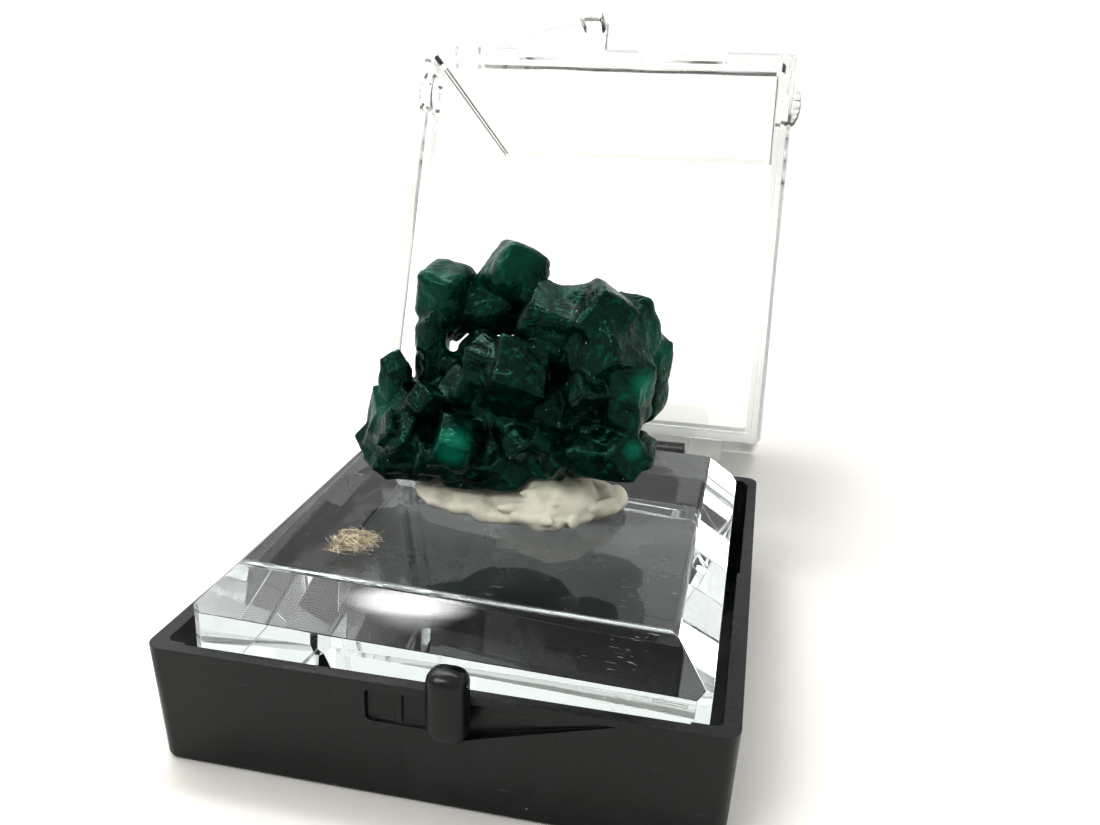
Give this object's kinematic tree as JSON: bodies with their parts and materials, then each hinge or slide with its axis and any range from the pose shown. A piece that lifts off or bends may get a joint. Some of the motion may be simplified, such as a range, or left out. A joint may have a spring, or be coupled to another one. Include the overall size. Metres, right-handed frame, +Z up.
{
  "type": "dioptase crystal cluster in a display box",
  "caption": "Dark green dioptase cluster on putty and a bevelled acrylic block, in a black tray with a clear hinged lid standing open.",
  "frame": {"origin": "middle of the tray's underside, on the plane that the box stands on", "axes": "+Z up, -Y towards the catch and thumb scoop at the front, +Y towards the hinge and the open lid, +X to the right"},
  "size_m": [0.036, 0.0789, 0.0463],
  "materials": {
    "black_plastic": "black moulded polystyrene, faintly scuffed",
    "clear_plastic": "clear moulded polystyrene",
    "cast_acrylic": "polished clear acrylic",
    "mineral_putty": "off-white kneaded putty",
    "dioptase": "glassy deep emerald green crystal faces",
    "lint": "loose beige fibres"
  },
  "bodies": {
    "base": {"base_tray": "black_plastic", "acrylic_block": "cast_acrylic", "putty": "mineral_putty", "dioptase_cluster": "dioptase", "lint_tuft": "lint"},
    "lid": {"clear_lid": "clear_plastic"}
  },
  "joints": [
    {"name": "lid_hinge", "type": "hinge", "parent": "base", "child": "lid", "pos_m": [0, 0.01938, 0.00864], "axis": [1, 0, 0], "range_deg": [0, 111.6]}
  ]
}
